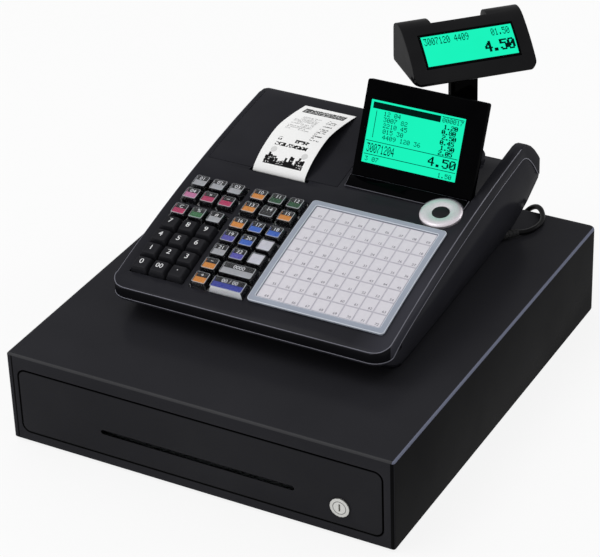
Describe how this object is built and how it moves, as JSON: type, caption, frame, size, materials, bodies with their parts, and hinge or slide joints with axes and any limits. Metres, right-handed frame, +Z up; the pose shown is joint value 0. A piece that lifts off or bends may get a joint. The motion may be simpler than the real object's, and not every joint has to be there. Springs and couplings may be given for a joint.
{
  "type": "cash register with drawer",
  "caption": "Electronic cash register on a steel cash drawer: keyboard, touch sheet, tilting operator display, receipt printer and pole display.",
  "frame": {"origin": "on the counter, under the centre of the register's box without its mains cord, at the feet's undersides", "axes": "+X to the operator's right, +Y to the back, +Z up; the drawer opens along -Y"},
  "size_m": [0.41, 0.5585, 0.3156],
  "materials": {
    "drawer_steel": "satin powder coat",
    "zinc_steel": "satin zinc plate",
    "till_plastic": "matte",
    "clip_plastic": "satin",
    "nickel": "polished",
    "rubber": "matte",
    "housing": "fine texture",
    "inner_plastic": "matte",
    "gloss_black": "gloss",
    "operator_lcd": "back-lit",
    "paper": "matte",
    "platen_rubber": "matte",
    "number_key": "satin",
    "clear_red": "clear cap over a tinted label",
    "clear_green": "clear cap over a tinted label",
    "clear_grey": "clear cap over a tinted label",
    "clear_orange": "clear cap over a tinted label",
    "clear_blue": "clear cap over a tinted label",
    "frame_grey": "satin",
    "sheet_white": "satin film",
    "ring_metal": "satin",
    "board_green": "lacquered",
    "spring_steel": "bright",
    "cable": "satin"
  },
  "bodies": {
    "register_base": {"cabinet_shell": "drawer_steel", "cabinet_base": "zinc_steel", "foot_front_left": "rubber", "foot_front_right": "rubber", "foot_rear_left": "rubber", "foot_rear_right": "rubber", "kick_spring": "spring_steel", "lower_case": "housing", "upper_case": "housing", "main_board": "board_green", "key_mat": "number_key", "membrane_frame": "frame_grey", "membrane_sheet": "sheet_white", "display_trim": "gloss_black", "hinge_pin": "nickel", "printer_frame": "inner_plastic", "strain_relief": "rubber", "cord": "cable", "cord_coil": "cable", "plug": "cable"},
    "drawer": {"drawer_front": "drawer_steel", "drawer_tray": "zinc_steel", "till_insert": "till_plastic"},
    "lock": {"lock_cylinder": "nickel"},
    "clip_1": {"bill_clip_1": "clip_plastic"},
    "clip_2": {"bill_clip_2": "clip_plastic"},
    "clip_3": {"bill_clip_3": "clip_plastic"},
    "clip_4": {"bill_clip_4": "clip_plastic"},
    "latch": {"latch_hook": "zinc_steel"},
    "display_panel": {"operator_display": "gloss_black", "operator_screen": "operator_lcd"},
    "cover": {"printer_cover": "housing", "receipt": "paper"},
    "platen": {"platen_roller": "platen_rubber"},
    "roll": {"paper_roll": "paper"},
    "ring": {"navigation_ring": "ring_metal"},
    "button": {"centre_button": "number_key"},
    "collar": {"swivel_collar": "housing"},
    "pole_tube": {"pole": "housing"},
    "head": {"customer_head": "gloss_black", "customer_screen": "gloss_black"},
    "key_0": {"key_0": "number_key"},
    "key_00": {"key_00": "number_key"},
    "key_point": {"key_point": "number_key"},
    "key_1": {"key_1": "number_key"},
    "key_2": {"key_2": "number_key"},
    "key_3": {"key_3": "number_key"},
    "key_4": {"key_4": "number_key"},
    "key_5": {"key_5": "number_key"},
    "key_6": {"key_6": "number_key"},
    "key_7": {"key_7": "number_key"},
    "key_8": {"key_8": "number_key"},
    "key_9": {"key_9": "number_key"},
    "key_red": {"key_red": "clear_red"},
    "key_green": {"key_green": "clear_green"},
    "key_grey": {"key_grey": "clear_grey"},
    "key_orange_lower": {"key_orange_lower": "clear_orange"},
    "key_wide_blue": {"key_wide_blue": "clear_blue"},
    "key_orange_upper": {"key_orange_upper": "clear_orange"},
    "key_wide_grey": {"key_wide_grey": "clear_grey"}
  },
  "joints": [
    {"name": "drawer_slide", "type": "slide", "parent": "register_base", "child": "drawer", "axis": [0, -1, 0], "range_m": [0, 0.33]},
    {"name": "lock_turn", "type": "hinge", "parent": "drawer", "child": "lock", "pos_m": [0.1505, -0.23535, 0.034], "axis": [0, 1, 0], "range_deg": [0, 90]},
    {"name": "clip_1_lift", "type": "hinge", "parent": "drawer", "child": "clip_1", "pos_m": [-0.14138, 0.07445, 0.0718], "axis": [-1, 0, 0], "range_deg": [0, 18], "stiffness_Nm_per_rad": 0.15, "springref_deg": -5.73},
    {"name": "clip_2_lift", "type": "hinge", "parent": "drawer", "child": "clip_2", "pos_m": [-0.04713, 0.07445, 0.0718], "axis": [-1, 0, 0], "range_deg": [0, 18], "stiffness_Nm_per_rad": 0.15, "springref_deg": -5.73},
    {"name": "clip_3_lift", "type": "hinge", "parent": "drawer", "child": "clip_3", "pos_m": [0.04713, 0.07445, 0.0718], "axis": [-1, 0, 0], "range_deg": [0, 18], "stiffness_Nm_per_rad": 0.15, "springref_deg": -5.73},
    {"name": "clip_4_lift", "type": "hinge", "parent": "drawer", "child": "clip_4", "pos_m": [0.14138, 0.07445, 0.0718], "axis": [-1, 0, 0], "range_deg": [0, 18], "stiffness_Nm_per_rad": 0.15, "springref_deg": -5.73},
    {"name": "latch_swing", "type": "hinge", "parent": "register_base", "child": "latch", "pos_m": [0, 0.20565, 0.0422], "axis": [1, 0, 0], "range_deg": [0, 12]},
    {"name": "display_fold", "type": "hinge", "parent": "register_base", "child": "display_panel", "pos_m": [0.0722, 0.06125, 0.18663], "axis": [-1, 0, 0], "range_deg": [-19, 64]},
    {"name": "cover_lift", "type": "hinge", "parent": "register_base", "child": "cover", "pos_m": [-0.0689, 0.15905, 0.2027], "axis": [-1, 0, 0], "range_deg": [0, 70]},
    {"name": "platen_spin", "type": "hinge", "parent": "cover", "child": "platen", "pos_m": [-0.0598, 0.04665, 0.17651], "axis": [1, 0, 0], "continuous": true},
    {"name": "roll_spin", "type": "hinge", "parent": "register_base", "child": "roll", "pos_m": [-0.0598, 0.10665, 0.16495], "axis": [1, 0, 0], "continuous": true},
    {"name": "ring_rock", "type": "hinge", "parent": "register_base", "child": "ring", "pos_m": [0.1178, 0.03195, 0.18582], "axis": [1, 0, 0], "range_deg": [-3, 3], "stiffness_Nm_per_rad": 0.6},
    {"name": "button_press", "type": "slide", "parent": "register_base", "child": "button", "axis": [0, 0.1976, -0.9803], "range_m": [0, 0.0015], "stiffness_N_per_m": 250},
    {"name": "collar_swivel", "type": "hinge", "parent": "register_base", "child": "collar", "pos_m": [0.0698, 0.18265, 0.167], "axis": [0, 0, 1], "range_deg": [-45, 135]},
    {"name": "pole_height", "type": "slide", "parent": "collar", "child": "pole_tube", "axis": [0, 0, 1], "range_m": [-0.04, 0]},
    {"name": "head_tilt", "type": "hinge", "parent": "pole_tube", "child": "head", "pos_m": [0.0698, 0.18265, 0.2792], "axis": [0.7071, 0.7071, 0], "range_deg": [-12, 12]},
    {"name": "key_0_press", "type": "slide", "parent": "register_base", "child": "key_0", "axis": [0, 0.2975, -0.9547], "range_m": [0, 0.003], "stiffness_N_per_m": 200},
    {"name": "key_00_press", "type": "slide", "parent": "register_base", "child": "key_00", "axis": [0, 0.2975, -0.9547], "range_m": [0, 0.003], "stiffness_N_per_m": 200},
    {"name": "key_point_press", "type": "slide", "parent": "register_base", "child": "key_point", "axis": [0, 0.2975, -0.9547], "range_m": [0, 0.003], "stiffness_N_per_m": 200},
    {"name": "key_1_press", "type": "slide", "parent": "register_base", "child": "key_1", "axis": [0, 0.2854, -0.9584], "range_m": [0, 0.003], "stiffness_N_per_m": 200},
    {"name": "key_2_press", "type": "slide", "parent": "register_base", "child": "key_2", "axis": [0, 0.2854, -0.9584], "range_m": [0, 0.003], "stiffness_N_per_m": 200},
    {"name": "key_3_press", "type": "slide", "parent": "register_base", "child": "key_3", "axis": [0, 0.2854, -0.9584], "range_m": [0, 0.003], "stiffness_N_per_m": 200},
    {"name": "key_4_press", "type": "slide", "parent": "register_base", "child": "key_4", "axis": [0, 0.2733, -0.9619], "range_m": [0, 0.003], "stiffness_N_per_m": 200},
    {"name": "key_5_press", "type": "slide", "parent": "register_base", "child": "key_5", "axis": [0, 0.2733, -0.9619], "range_m": [0, 0.003], "stiffness_N_per_m": 200},
    {"name": "key_6_press", "type": "slide", "parent": "register_base", "child": "key_6", "axis": [0, 0.2733, -0.9619], "range_m": [0, 0.003], "stiffness_N_per_m": 200},
    {"name": "key_7_press", "type": "slide", "parent": "register_base", "child": "key_7", "axis": [0, 0.2611, -0.9653], "range_m": [0, 0.003], "stiffness_N_per_m": 200},
    {"name": "key_8_press", "type": "slide", "parent": "register_base", "child": "key_8", "axis": [0, 0.2611, -0.9653], "range_m": [0, 0.003], "stiffness_N_per_m": 200},
    {"name": "key_9_press", "type": "slide", "parent": "register_base", "child": "key_9", "axis": [0, 0.2611, -0.9653], "range_m": [0, 0.003], "stiffness_N_per_m": 200},
    {"name": "key_red_press", "type": "slide", "parent": "register_base", "child": "key_red", "axis": [0, 0.2489, -0.9685], "range_m": [0, 0.003], "stiffness_N_per_m": 200},
    {"name": "key_green_press", "type": "slide", "parent": "register_base", "child": "key_green", "axis": [0, 0.2489, -0.9685], "range_m": [0, 0.003], "stiffness_N_per_m": 200},
    {"name": "key_grey_press", "type": "slide", "parent": "register_base", "child": "key_grey", "axis": [0, 0.2489, -0.9685], "range_m": [0, 0.003], "stiffness_N_per_m": 200},
    {"name": "key_orange_lower_press", "type": "slide", "parent": "register_base", "child": "key_orange_lower", "axis": [0, 0.2975, -0.9547], "range_m": [0, 0.003], "stiffness_N_per_m": 200},
    {"name": "key_wide_blue_press", "type": "slide", "parent": "register_base", "child": "key_wide_blue", "axis": [0, 0.2975, -0.9547], "range_m": [0, 0.003], "stiffness_N_per_m": 200},
    {"name": "key_orange_upper_press", "type": "slide", "parent": "register_base", "child": "key_orange_upper", "axis": [0, 0.2854, -0.9584], "range_m": [0, 0.003], "stiffness_N_per_m": 200},
    {"name": "key_wide_grey_press", "type": "slide", "parent": "register_base", "child": "key_wide_grey", "axis": [0, 0.2854, -0.9584], "range_m": [0, 0.003], "stiffness_N_per_m": 200}
  ],
  "couplings": [
    {"joint": "platen_spin", "follows": "roll_spin", "ratio": 4.5}
  ]
}
